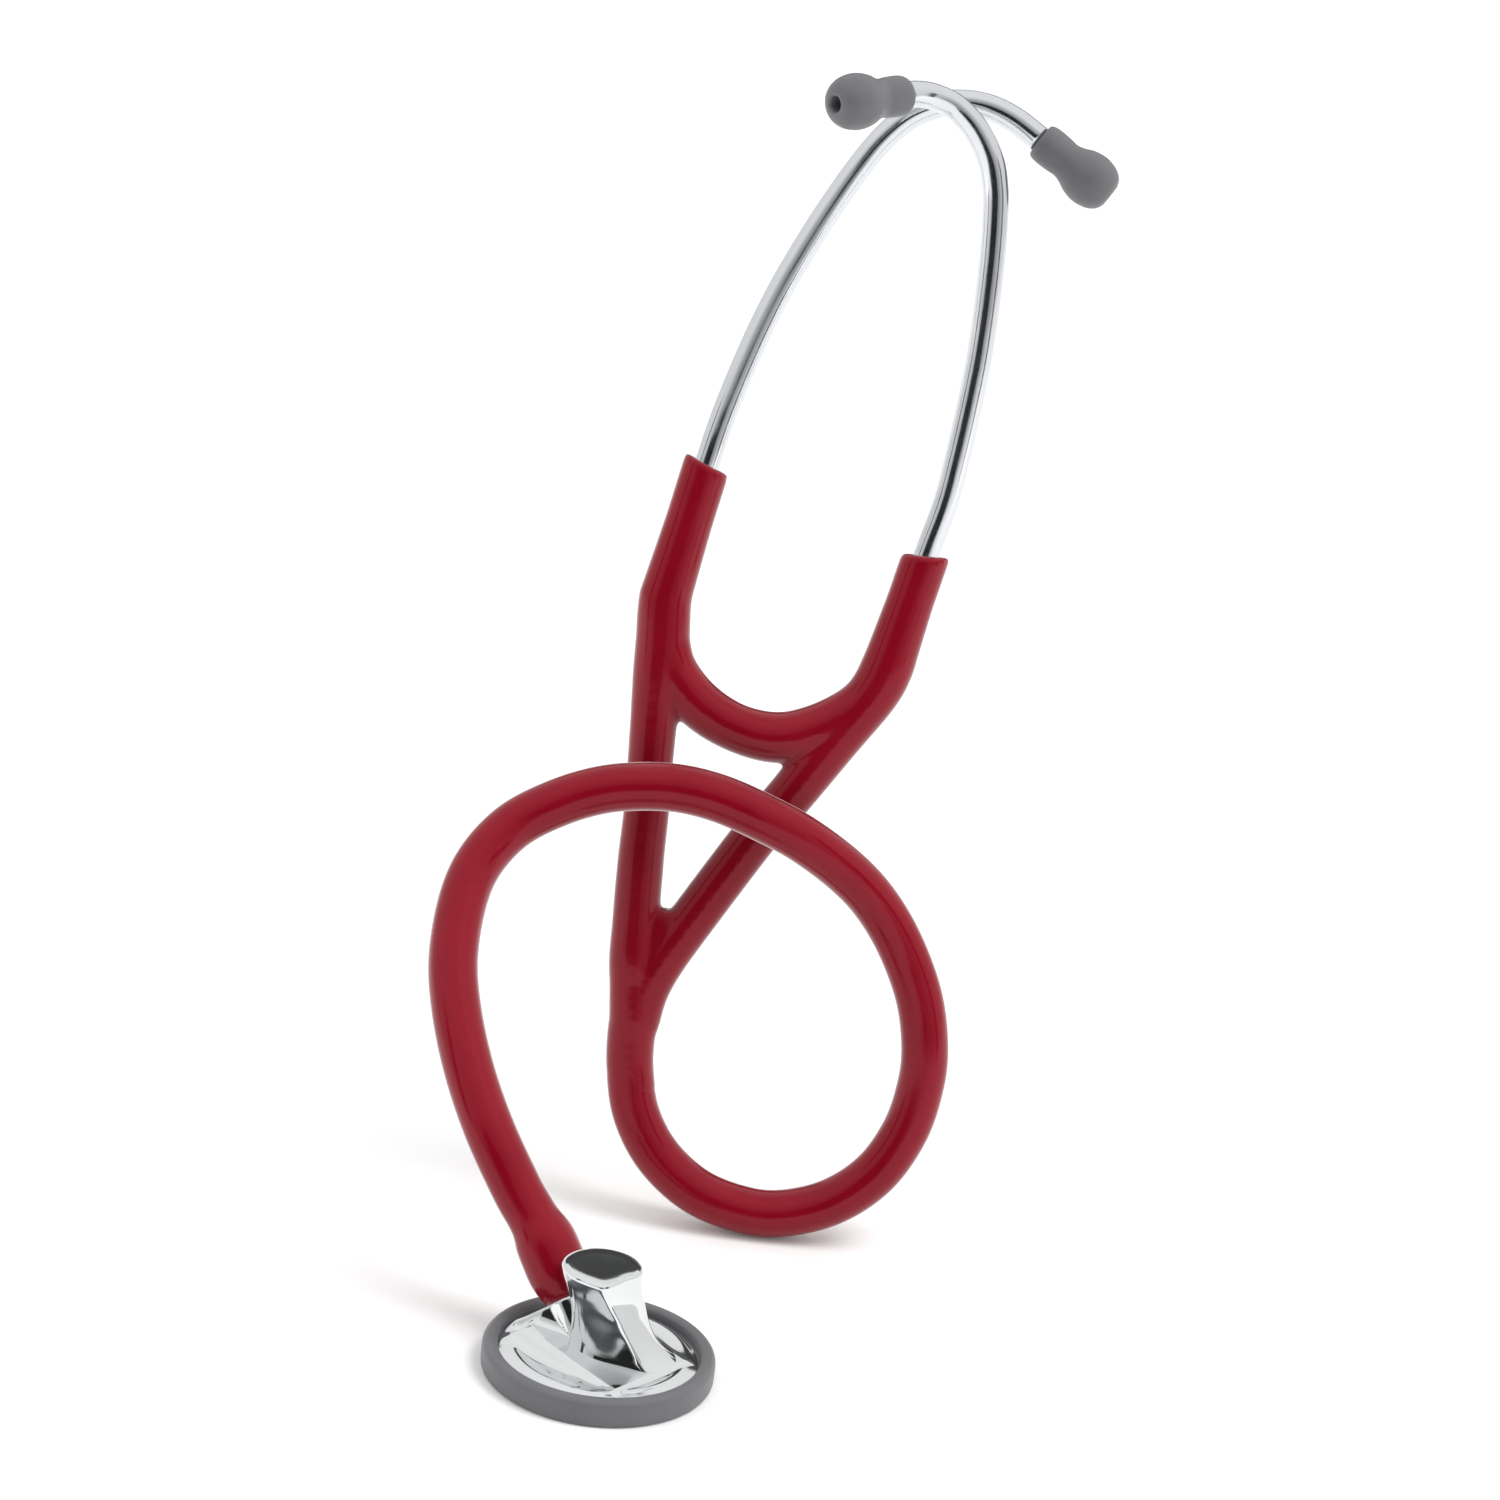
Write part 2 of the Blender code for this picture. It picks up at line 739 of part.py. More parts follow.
def ear_tip(side, place, direction, pivot_empty):
    """Soft mushroom tip with a bore for the nipple and a small sound hole."""
    pull = empty(side + "_ear_tip_pull", place + direction * GAP, pivot_empty)
    hole = 1.6
    outer = TIP_PROFILE[::-1]
    profile = [
        (hole, TIP_LENGTH),
        *outer,
        (NIPPLE_R + GAP, 0.0),
        (NIPPLE_R + GAP, NIPPLE_LENGTH + 2 * GAP),
        (hole, NIPPLE_LENGTH + 3 * GAP),
    ]
    tip = turned(side + "_ear_tip", profile, GREY_RUBBER, steps=32, parent=pull)
    aim(tip, direction)


def headset_side(side, pivot, tip, route, frame):
    pivot_empty = empty(side + "_arm_pivot", (pivot[0], 0.0, pivot[1]), frame)
    reach = arm_direction(pivot, tip)
    direction = reach.normalized()
    arm_sleeve(side, reach.length, direction, pivot_empty)
    place, heading = ear_tube(side, route, pivot, reach, pivot_empty)
    nipple(side, place, heading, pivot_empty)
    ear_tip(side, place, heading, pivot_empty)


def main():
    chest = empty("chestpiece_frame", CHEST_CENTRE)
    chest.rotation_euler.z = math.radians(CHEST_TURN_DEG)
    chestpiece_body(chest)
    chestpiece_stem(chest)
    chestpiece_rim(chest)
    diaphragm_surround(chest)
    diaphragm(chest)
    hose()
    plane = empty("leaning_plane", PLANE_FOOT)
    plane.rotation_euler.x = -math.radians(LEAN_DEG)
    frame = empty("headset_frame", HEADSET_PLACE, plane)
    frame.rotation_euler.y = -math.radians(TURN_DEG)
    yoke(frame)
    headset_side("left", LEFT_PIVOT, LEFT_ARM_TIP, LEFT_TUBE, frame)
    headset_side("right", RIGHT_PIVOT, RIGHT_ARM_TIP, RIGHT_TUBE, frame)
    for item in PARTS.objects:
        if item.type == "MESH":
            item.data.shade_smooth()


main()
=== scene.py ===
"""A single-sided cardiology stethoscope, standing on its chestpiece and on the loop of its hose.

Lengths are in millimetres until they reach Blender. The headset lies in one plane that leans back;
its points are (across, in front of the plane, up the plane).
"""

import bpy
import numpy as np
from mathutils import Matrix


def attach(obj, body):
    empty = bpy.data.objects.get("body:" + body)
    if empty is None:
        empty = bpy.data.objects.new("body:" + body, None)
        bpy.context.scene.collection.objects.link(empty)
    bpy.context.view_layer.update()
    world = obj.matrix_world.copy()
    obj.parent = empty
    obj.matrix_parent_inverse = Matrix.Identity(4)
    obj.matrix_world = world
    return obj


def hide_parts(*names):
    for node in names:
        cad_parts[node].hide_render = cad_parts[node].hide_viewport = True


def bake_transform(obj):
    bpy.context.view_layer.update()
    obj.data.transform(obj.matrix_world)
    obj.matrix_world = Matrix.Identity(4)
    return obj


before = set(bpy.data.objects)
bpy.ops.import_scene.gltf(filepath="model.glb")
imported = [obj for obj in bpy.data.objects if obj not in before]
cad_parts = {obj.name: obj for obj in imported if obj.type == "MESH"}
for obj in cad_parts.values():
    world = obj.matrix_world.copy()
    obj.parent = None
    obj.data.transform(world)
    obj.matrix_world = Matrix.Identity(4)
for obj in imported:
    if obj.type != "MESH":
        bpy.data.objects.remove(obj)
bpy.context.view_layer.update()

bl_info = {
    "name": "Standing stethoscope",
    "version": (1, 0, 0),
    "blender": (4, 5, 0),
    "location": "View3D > Sidebar > Stethoscope",
    "description": "Builds a stethoscope's skins and finishes around its packed model",
    "category": "Add Mesh",
}

MM = 0.001
LEAN = np.radians(10.5)
TURN = np.radians(7.0)
PLANE_FOOT = np.array([1.4, 21.0, 0.0])
HEADSET_PLACE = (7.6, 1.15)
PLANE_FRONT = np.array([0.0, -np.cos(LEAN), np.sin(LEAN)])
CHEST_CENTRE = np.array([-29.9, -54.8, 0.0])
CHEST_TURN = np.radians(-40.5)
STEM_TILT = np.radians(48.5)
STEM_FACE = (-11.3, 1.1, 12.0)

# The disc's relief, in the chestpiece's own frame, whose X runs down the ramp.
DISC_RADIUS = 22.6
RAMP_LOW_END = (15.0, 5.7)
RAMP_CLIMB = 0.088
RAMP_ALONG = (-12.3, 15.2)
RAMP_ACROSS = (-10.5, 11.0)
RAMP_FALL = ((0, 0.2, 1.2, 1.8, 3.0, 4.5, 6.5, 9.0), (0, 0.06, 0.85, 1.55, 2.6, 3.4, 4.0, 5.5))
BOSS_RADIUS = 5.75
BOSS_SKIRT = 1.7

# The moulding of yoke and sleeves: what relaxing takes off, its grain, and the root's radii.
MOULD_GROWTH = 0.36
MOULD_VOXEL = 0.45
MOULD_ROUNDS = 36
LIMB_SIDES = 40
ROOT_RADII = ((0, 0.1, 0.45, 0.8, 1.0), (5.1, 5.28, 5.5, 5.35, 3.6))
SLEEVE_ROOT = 5.9
CUT_BEFORE_PIVOT = 3.4
# Along an arm, in metres: a spot past the cut and one past the pivot, which are computed but not
# used.
BEND_START = 0.0006
BEND_END = 0.0095

# The studio, in metres but for the camera's spot.
CAMERA_SPOT = np.array([-13.4, -695.0, 343.0])
CAMERA_PITCH = np.radians(17.3)
CAMERA_ROLL = np.radians(7.0)
CAMERA_LENS = 79.2
CAMERA_SENSOR = 36.0
STUDIO_TARGET = (0.0, 0.0, 0.1)
FLOOR_HALF = 20.0
FLOOR_GLOW = 0.05
SUN_STRENGTH = 1.5
SUN_ANGLE = 0.5
SUN_SIDE = np.array([0.48, -0.1, 0.87])
SIDE_LIGHT = ((0.6, 1.4), 5.0)
# Cards: name, spot, target, size, shade.
CARDS = (
    ("front_card", (-0.3, -1.6, 0.38), STUDIO_TARGET, (1.6, 1.05), 0.015),
    ("back_card", (0.1, 2.2, 0.98), (-0.03, -0.06, 0.02), (2.2, 0.56), 0.06),
    ("low_back_card", (0.3, 2.0, 0.3), STUDIO_TARGET, (1.0, 0.5), 0.05),
    ("right_card", (1.5, -0.75, 0.35), STUDIO_TARGET, (0.35, 1.2), 0.05),
    ("left_card", (-1.5, -0.55, 0.35), STUDIO_TARGET, (0.25, 1.2), 0.05),
)

HOSE_ROUTE = [
    (-38.0, -46.4, 12.3),
    (-41.5, -43.4, 17.5),
    (-45.1, -40.4, 22.8),
    (-48.8, -37.8, 27.1),
    (-52.5, -35.2, 31.3),
    (-60.0, -29.3, 41.6),
    (-66.4, -21.0, 51.5),
    (-71.3, -11.5, 61.4),
    (-74.0, -2.0, 70.2),
    (-74.0, 8.5, 80.1),
    (-71.4, 16.0, 87.6),
    (-65.2, 22.0, 94.7),
    (-56.0, 25.2, 100.3),
    (-46.6, 26.6, 104.2),
    (-37.5, 27.0, 106.2),
    (-28.3, 27.1, 106.8),
    (-19.0, 27.0, 105.6),
    (-9.3, 26.9, 102.6),
    (1.3, 28.3, 97.8),
    (12.4, 31.6, 90.0),
    (20.5, 33.7, 82.1),
    (27.6, 33.9, 72.2),
    (33.4, 32.2, 60.6),
    (36.2, 30.0, 48.9),
    (36.2, 28.3, 39.2),
    (33.9, 26.3, 28.7),
    (28.1, 24.3, 18.1),
    (18.8, 22.9, 10.2),
    (7.2, 22.1, 6.0),
    (-2.7, 22.1, 5.9),
    (-13.7, 22.7, 9.0),
    (-23.5, 24.1, 16.2),
    (-29.9, 26.0, 25.9),
    (-32.6, 28.1, 36.9),
    (-33.1, 29.8, 46.0),
]

# Centre lines of the yoke in its plane: (across, up, radius).
LEFT_LEG = [
    (-26.6, 156.6, 5.5),
    (-28.1, 150.8, 5.9),
    (-28.6, 143.0, 6.0),
    (-29.6, 134.0, 5.8),
    (-30.7, 124.0, 5.3),
    (-31.6, 114.0, 5.1),
    (-32.6, 102.0, 5.1),
    (-34.0, 90.0, 5.2),
    (-35.2, 76.0, 5.3),
    (-35.8, 64.0, 5.6),
    (-35.9, 52.0, 4.3),
]
RIGHT_LEG = [
    (25.8, 141.6, 5.5),
    (23.7, 135.6, 5.9),
    (20.4, 129.4, 5.8),
    (11.6, 118.6, 5.6),
    (1.4, 105.8, 5.3),
    (-6.8, 96.2, 5.2),
    (-20.8, 77.6, 5.2),
    (-29.0, 66.2, 5.2),
    (-32.9, 58.6, 5.0),
    (-34.7, 51.0, 4.6),
    (-35.2, 47.0, 3.6),
]
WEB = [
    (-28.2, 143.0, 5.4),
    (-26.2, 135.0, 5.3),
    (-20.4, 127.0, 5.5),
    (-11.8, 121.4, 5.4),
    (-2.0, 119.0, 5.7),
    (7.0, 120.8, 5.7),
    (14.8, 124.6, 5.6),
    (19.2, 128.4, 5.4),
    (21.8, 132.2, 5.2),
]
GUSSET = [(-32.0, 64.0, 4.2), (-29.8, 73.0, 4.2), (-28.4, 78.4, 3.2)]
LEFT_PIVOT = (-28.3, 151.0)
RIGHT_PIVOT = (23.9, 136.0)
LEFT_ARM_TIP = (-18.2, 182.8)
RIGHT_ARM_TIP = (32.6, 161.6)

# Ear tubes past their sleeves: (across, in front of the plane, up).
LEFT_TUBE = [
    (-14.7, -0.8, 193.1),
    (-11.0, -2.0, 202.3),
    (-6.4, -3.4, 212.7),
    (-1.3, -4.8, 222.8),
    (4.7, -6.0, 233.0),
    (10.6, -7.0, 242.1),
    (17.2, -7.7, 251.3),
    (22.9, -8.1, 257.9),
    (29.1, -8.3, 262.7),
    (35.6, -8.3, 265.2),
    (41.3, -8.3, 265.6),
    (47.1, -8.1, 264.5),
    (52.9, -7.8, 261.6),
    (58.6, -7.3, 257.2),
]
RIGHT_TUBE = [
    (36.9, 0.3, 173.4),
    (39.6, 0.8, 183.9),
    (42.2, 1.4, 195.6),
    (44.4, 2.1, 206.9),
    (46.0, 2.9, 218.3),
    (47.2, 3.5, 229.4),
    (47.8, 4.0, 238.4),
    (47.8, 4.3, 245.1),
    (46.6, 4.7, 251.8),
    (43.2, 5.3, 258.6),
    (38.4, 6.0, 263.6),
    (33.4, 7.6, 265.8),
    (29.6, 9.8, 266.2),
    (26.8, 12.0, 265.8),
]

# Half profiles: (radius, height).
TIP_PROFILE = [
    (2.2, -0.2),
    (3.6, -0.15),
    (4.1, 0.15),
    (4.5, 1.2),
    (4.6, 3.0),
    (4.5, 5.4),
    (4.35, 7.4),
    (4.8, 9.2),
    (5.7, 11.2),
    (6.2, 13.4),
    (6.2, 15.4),
    (5.6, 17.8),
    (4.4, 19.6),
    (3.0, 20.4),
    (2.2, 20.5),
    (1.8, 20.1),
    (1.65, 18.8),
    (1.6, 14.0),
]
RIM_PROFILE = [
    (22.0, 3.4),
    (22.0, 5.2),
    (22.25, 5.75),
    (22.9, 6.1),
    (23.7, 6.15),
    (24.5, 5.9),
    (25.1, 5.3),
    (25.3, 4.5),
    (25.32, 3.0),
    (25.3, 1.4),
    (25.15, 0.6),
    (24.7, 0.12),
    (24.1, 0.0),
    (22.6, 0.0),
    (21.9, 0.15),
    (21.5, 0.6),
    (21.4, 1.6),
]
DISC_PROFILE = [
    (0.0, 5.0),
    (6.0, 5.0),
    (12.0, 4.95),
    (15.5, 5.0),
    (17.2, 5.2),
    (18.3, 5.42),
    (18.9, 5.45),
    (19.6, 5.3),
    (20.6, 4.98),
    (21.6, 4.7),
    (22.6, 4.4),
]

# Levels of the grip: height, centre x and y, half widths, front edge's direction and reach,
# flare of the foot, depth of the hollow.
GRIP_LEVELS = [
    (3.9, 2.2, 0.6, 9.4, 8.6, -46, 12.2, 9.4, 0.5),
    (5.0, 2.1, 0.6, 9.2, 8.5, -47, 11.6, 7.6, 0.6),
    (6.4, 2.0, 0.6, 8.9, 8.4, -50, 11.0, 5.4, 0.7),
    (8.2, 1.9, 0.7, 8.6, 8.2, -54, 10.4, 3.5, 0.8),
    (10.4, 1.7, 0.8, 8.4, 8.0, -59, 10.0, 2.0, 0.85),
    (13.0, 1.3, 0.9, 8.2, 7.8, -65, 9.7, 0.9, 0.9),
    (16.0, 0.6, 1.1, 8.1, 7.7, -71, 9.5, 0.3, 0.95),
    (19.0, -0.3, 1.3, 8.1, 7.8, -78, 9.6, 0.0, 1.0),
    (21.6, -1.0, 1.45, 8.45, 8.1, -83, 9.9, 0.0, 1.1),
    (23.6, -1.3, 1.5, 8.75, 8.5, -86, 10.15, 0.0, 1.2),
]
# The grip's rounded top: (height, share of the last ring).
GRIP_LIP = [
    (23.95, 0.985),
    (24.25, 0.955),
    (24.45, 0.91),
    (24.52, 0.84),
    (24.5, 0.6),
    (24.46, 0.3),
    (24.45, 0.05),
]
GRIP_TOP = 24.5
RIDGE_ROUND = 0.04
RIDGE_WIDTH = 0.30


def headset(points):
    """World places of (across, front, up): a turn within the plane, then the plane's lean back."""
    across, front, up = np.asarray(points, float).T
    level = np.cos(TURN) * across - np.sin(TURN) * up + HEADSET_PLACE[0]
    raised = np.sin(TURN) * across + np.cos(TURN) * up + HEADSET_PLACE[1]
    up_plane = np.array([0.0, np.sin(LEAN), np.cos(LEAN)])
    place = PLANE_FOOT + raised[:, None] * up_plane + front[:, None] * PLANE_FRONT
    return place + level[:, None] * np.array([1.0, 0.0, 0.0])


def unit(vectors):
    """Each vector divided by its own length."""
    return vectors / np.linalg.norm(vectors, axis=-1, keepdims=True)


def smooth_path(points, spacing):
    """Evenly spaced points on the Catmull-Rom cubic through the given points, all columns alike."""
    given = np.asarray(points, float)
    padded = np.vstack([2 * given[0] - given[1], given, 2 * given[-1] - given[-2]])
    a, b, c, d = (padded[i : len(padded) - 3 + i, None] for i in range(4))
    t = np.linspace(0, 1, 24, endpoint=False)[None, :, None]
    cubic = 2 * b + (c - a) * t + (2 * a - 5 * b + 4 * c - d) * t**2
    cubic = cubic + (3 * b - a - 3 * c + d) * t**3
    fine = np.vstack([0.5 * cubic.reshape(-1, given.shape[1]), given[-1:]])
    run = np.concatenate([[0], np.cumsum(np.linalg.norm(np.diff(fine[:, :3], axis=0), axis=1))])
    wanted = np.linspace(0, run[-1], int(round(run[-1] / spacing)) + 1)
    return np.stack([np.interp(wanted, run, column) for column in fine.T], axis=1)


def run_along(path):
    """Distance along a path at each point: the running sum of its steps' lengths."""
    return np.concatenate([[0], np.cumsum(np.linalg.norm(np.diff(path, axis=0), axis=1))])


def tube_grid(path, radius, sides):
    """A circle of the path's radius carried square to the path: point + radius round it."""
    tangent = unit(np.gradient(path, axis=0))
    side = unit(np.cross(tangent, PLANE_FRONT))
    front = np.cross(side, tangent)
    angle = np.linspace(0, 2 * np.pi, sides, endpoint=False)
    reach = np.broadcast_to(np.asarray(radius, float), len(path))[:, None, None]
    ring = np.cos(angle)[None, :, None] * side[:, None]
    ring = ring + np.sin(angle)[None, :, None] * front[:, None]
    return path[:, None] + reach * ring


def turned_grid(profile, sides, origin, axis):
    """The profile's radius and height turned about the axis: centre + height + radius round it."""
    axis = unit(np.asarray(axis, float))
    side = unit(np.cross(axis, [0.3, 0.9, 0.31]))
    other = np.cross(axis, side)
    angle = np.linspace(0, 2 * np.pi, sides, endpoint=False)[None, :, None]
    radius, height = np.asarray(profile, float).T[:, :, None, None]
    outward = np.cos(angle) * side + np.sin(angle) * other
    return np.asarray(origin) + height * axis + radius * outward


def flow_of(grid, stretch=0.06):
    """Pattern coordinates that run along a tube: (cosine, sine, distance x stretch), in mm."""
    rows, sides = grid.shape[:2]
    angle = np.linspace(0, 2 * np.pi, sides, endpoint=False)
    run = run_along(grid.mean(axis=1))
    flow = np.zeros((rows, sides, 3))
    flow[..., 0] = 5.0 * np.cos(angle)
    flow[..., 1] = 5.0 * np.sin(angle)
    flow[..., 2] = run[:, None] * stretch
    return flow.reshape(-1, 3)


def grid_faces(rows, sides, low_cap, high_cap):
    """Quads between neighbouring rows, wrapped round, with a fan to a pole at each capped end."""
    i = np.arange(rows - 1)[:, None] * sides
    j = np.arange(sides)[None, :]
    n = (j + 1) % sides
    quads = np.stack([i + j, i + n, i + sides + n, i + sides + j], axis=-1).reshape(-1, 4)
    faces = quads.tolist()
    k = np.arange(sides)
    after = (k + 1) % sides
    pole = rows * sides
    if low_cap:
        faces += np.stack([after, k, np.full(sides, pole)], axis=1).tolist()
        pole += 1
    if high_cap:
        last = (rows - 1) * sides
        faces += np.stack([last + k, last + after, np.full(sides, pole)], axis=1).tolist()
    return faces


def volume(points, faces):
    """Signed volume: a sum of tetrahedra from the origin to each face's fans."""
    total = 0.0
    for size in (3, 4):
        some = np.array([f for f in faces if len(f) == size])
        if len(some):
            a = points[some[:, 0]]
            for k in range(1, size - 1):
                b, c = points[some[:, k]], points[some[:, k + 1]]
                total += np.einsum("ij,ij->", a, np.cross(b, c)) / 6
    return total


def skin(name, grids, material, low_cap=True, high_cap=True):
    """One mesh from one or more wrapped grids in millimetres, each closed at its poles."""
    points, faces, flows = [], [], []
    count = 0
    for grid in grids if isinstance(grids, list) else [grids]:
        rows, sides = grid.shape[:2]
        poles = [grid[0].mean(axis=0)] * low_cap + [grid[-1].mean(axis=0)] * high_cap
        own = np.vstack([grid.reshape(-1, 3), *[p[None] for p in poles]])
        quads = grid_faces(rows, sides, low_cap, high_cap)
        if volume(own - own.mean(axis=0), quads) < 0:
            quads = [face[::-1] for face in quads]
        faces += [[k + count for k in face] for face in quads]
        points.append(own)
        flows.append(np.vstack([flow_of(grid), np.zeros((len(poles), 3))]))
        count += len(own)
    data = bpy.data.meshes.new(name)
    data.from_pydata((np.vstack(points) * MM).tolist(), [], faces)
    attribute = data.attributes.new("flow", "FLOAT_VECTOR", "POINT")
    attribute.data.foreach_set("vector", (np.vstack(flows)).ravel().astype(np.float32))
    data.shade_smooth()
    if material is not None:
        data.materials.append(material)
    made = bpy.data.objects.new(name, data)
    bpy.context.scene.collection.objects.link(made)
    return made


def place(piece, body, slot, *nodes):
    """Ties a finished piece to its body and hides the model's parts it stands for; its slot is not
    used.
    """
    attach(piece, body)
    finish_piece(piece, slot, *nodes)


def finish_piece(piece, slot, *nodes):
    """Hides the model's parts that a piece stands for; the slot is not used."""
    if nodes:
        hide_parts(*nodes)


class Signal:
    """An output in a shader's tree; arithmetic on it adds Math nodes."""

    def __init__(self, tree, socket):
        self.tree = tree
        self.socket = socket

    def math(self, operation, first, second):
        return add_node(self.tree, "ShaderNodeMath", {"operation": operation}, first, second)

    def __add__(self, other):
        return self.math("ADD", self, other)

    def __mul__(self, other):
        return self.math("MULTIPLY", self, other)

    __radd__ = __add__
    __rmul__ = __mul__


def add_node(tree, kind, settings, *inputs, output=0, **named):
    """A node with its settings first, then its inputs in order or by name."""
    made = tree.nodes.new(kind)
    for key, value in settings.items():
        setattr(made, key, value)
    pairs = list(zip(range(len(inputs)), inputs)) + [
        (key.replace("_", " "), value) for key, value in named.items()
    ]
    for key, value in pairs:
        if isinstance(value, Signal):
            tree.links.new(value.socket, made.inputs[key])
        elif value is not None:
            made.inputs[key].default_value = value
    return Signal(tree, made.outputs[output])


class Finish:
    """A material: constants on the shader itself, and patterns that vary over the surface."""

    def __init__(self, name, colour, roughness, **constants):
        self.made = bpy.data.materials.new(name)
        self.made.use_nodes = True
        self.tree = self.made.node_tree
        self.shader = self.tree.nodes["Principled BSDF"]
        self.set("Base Color", (*colour, 1.0))
        self.set("Roughness", roughness)
        for key, value in constants.items():
            self.set(key.replace("_", " "), value)

    def set(self, socket, value):
        if isinstance(value, Signal):
            self.tree.links.new(value.socket, self.shader.inputs[socket])
        else:
            self.shader.inputs[socket].default_value = value

    def add(self, kind, settings, *inputs, output=0, **named):
        return add_node(self.tree, kind, settings, *inputs, output=output, **named)

    def place(self):
        """Object coordinates, so that a pattern moves with its piece."""
        return self.add("ShaderNodeTexCoord", {}, output=3)

    def flow(self):
        return self.add("ShaderNodeAttribute", {"attribute_name": "flow"}, output=1)

    def noise(self, where, scale, detail=3.0):
        return self.add("ShaderNodeTexNoise", {}, Vector=where, Scale=scale, Detail=detail)

    def shade(self, mask, low, high):
        """Low where the mask is 0, high where it is 1, and straight between them."""
        settings = {"data_type": "RGBA"}
        mixed = self.add("ShaderNodeMix", settings, output=2)
        mix = mixed.socket.node
        self.tree.links.new(mask.socket, mix.inputs[0])
        mix.inputs[6].default_value = (*low, 1.0)
        mix.inputs[7].default_value = (*high, 1.0)
        return mixed

    def bump(self, height, distance):
        """Tilts the normal by the height's slope; distance is in metres."""
        raised = self.add("ShaderNodeBump", {}, Strength=1.0, Distance=distance, Height=height)
        self.set("Normal", raised)


def pvc(sizes):
    """Glossy soft plastic: cloudy colour, faint flow lines and a hint of moulded unevenness."""
    colour = tuple(sizes.pvc_colour)
    red_gloss = (1.0, 0.42, 0.46, 1.0)
    made = Finish("burgundy_pvc_skin", colour, 0.3, Specular_IOR_Level=0.5, Specular_Tint=red_gloss)
    cloud = made.noise(made.place(), 90.0)
    fine = made.noise(made.place(), 1500.0, 4.0)
    deep = tuple(c * 0.86 for c in colour)
    pale = tuple(c * 1.12 + 0.002 for c in colour)
    made.set("Base Color", made.shade(cloud, deep, pale))
    made.set("Roughness", cloud * 0.06 + fine * 0.03 + 0.11)
    made.bump(fine * 0.3 + cloud * 2.0, 0.00001)
    return made.made


def mirror_steel(sizes):
    """Polished steel with the faint haze and hairline wipes of handling."""
    made = Finish("mirror_steel_skin", tuple(sizes.steel_colour), 0.05, Metallic=1.0)
    haze = made.noise(made.place(), 140.0)
    wipes = made.noise(made.place(), 2600.0, 2.0)
    made.set("Roughness", haze * 0.05 + wipes * 0.02 + 0.045)
    tint = tuple(c * 0.95 for c in sizes.steel_colour)
    made.set("Base Color", made.shade(haze, tint, tuple(sizes.steel_colour)))
    return made.made


def drawn_tube(sizes):
    """Satin tube with fine drawing lines along it."""
    made = Finish("drawn_tube_skin", tuple(sizes.tube_colour), 0.16, Metallic=1.0)
    lines = made.noise(made.flow(), 2.6, 5.0)
    haze = made.noise(made.place(), 120.0)
    made.set("Roughness", lines * 0.1 + haze * 0.05 + 0.08)
    low = tuple(c * 0.93 for c in sizes.tube_colour)
    made.set("Base Color", made.shade(lines, low, tuple(sizes.tube_colour)))
    made.bump(lines, 0.000006)
    return made.made


def grey_rubber(sizes):
    """Soft grey rubber: matte, finely grained, a little uneven in tone."""
    colour = tuple(sizes.rubber_colour)
    made = Finish("grey_rubber_skin", colour, 0.42, Specular_IOR_Level=0.4)
    cloud = made.noise(made.place(), 160.0)
    grain = made.noise(made.place(), 2800.0, 4.0)
    deep, pale = tuple(c * 0.88 for c in colour), tuple(c * 1.1 for c in colour)
    made.set("Base Color", made.shade(cloud, deep, pale))
    made.set("Roughness", cloud * 0.12 + grain * 0.12 + 0.3)
    made.bump(grain, 0.00002)
    return made.made


def plain_part(name, colour, roughness, metallic):
    """Finish of a part that mostly stays hidden: a grained version of its own colour."""
    made = Finish(name, colour, roughness, Metallic=metallic)
    grain = made.noise(made.place(), 1800.0, 4.0)
    made.set("Base Color", made.shade(grain, tuple(c * 0.88 for c in colour), colour))
    made.set("Roughness", grain * 0.15 + (roughness - 0.05))
    return made.made


def sizes_of(context):
    """The sizes and colours shown in the panel."""
    return context.scene.stethoscope_sizes


def arm_line(pivot, tip):
    """The arm's axis: its pivot, its direction and the length of its sleeve."""
    base = np.array([pivot[0], 0.0, pivot[1]])
    end = np.array([tip[0], 0.0, tip[1]])
    return base, unit(end - base), float(np.linalg.norm(end - base))


